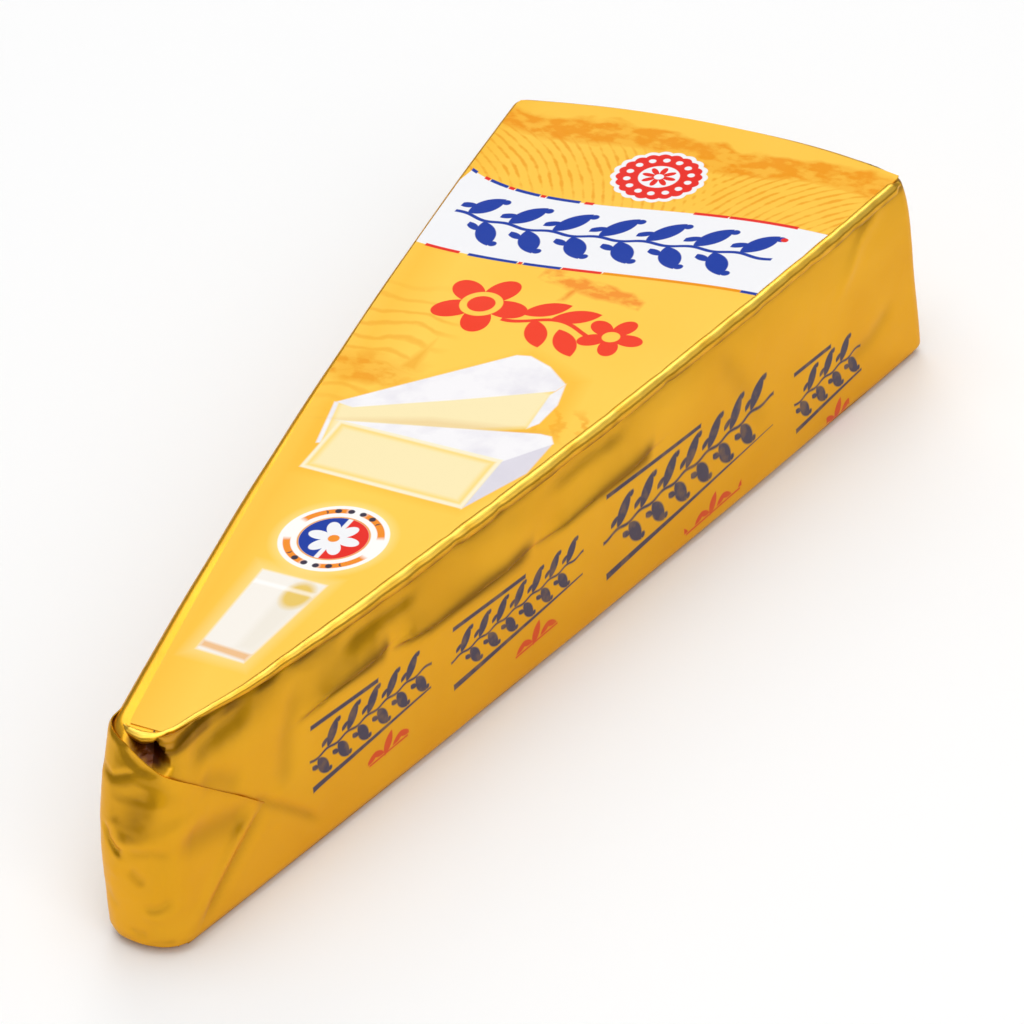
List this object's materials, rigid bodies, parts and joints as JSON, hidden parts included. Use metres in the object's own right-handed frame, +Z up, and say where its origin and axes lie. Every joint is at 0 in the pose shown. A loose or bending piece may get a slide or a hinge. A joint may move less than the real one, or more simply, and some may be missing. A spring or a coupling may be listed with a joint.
{
  "type": "foil-wrapped cheese wedge",
  "caption": "Soft cheese wedge wrapped in gold foil, with a blunt nose, a curved rind end, a rolled top edge and a printed label on top.",
  "frame": {"origin": "centre of the bottom of the part's box, on the surface that the wedge lies on", "axes": "+Z up, away from the base; +Y from the nose towards the curved rind end; +X to the side whose top edge is rolled"},
  "size_m": [0.068, 0.1696, 0.0303],
  "materials": {
    "cheese": null,
    "gold_foil": "satin gold lacquered foil, softly creased",
    "printed_label": "smooth semi-gloss print"
  },
  "bodies": {
    "root": {"cheese_wedge": "cheese", "foil_wrapper": "gold_foil", "top_label": "printed_label"}
  },
  "joints": []
}
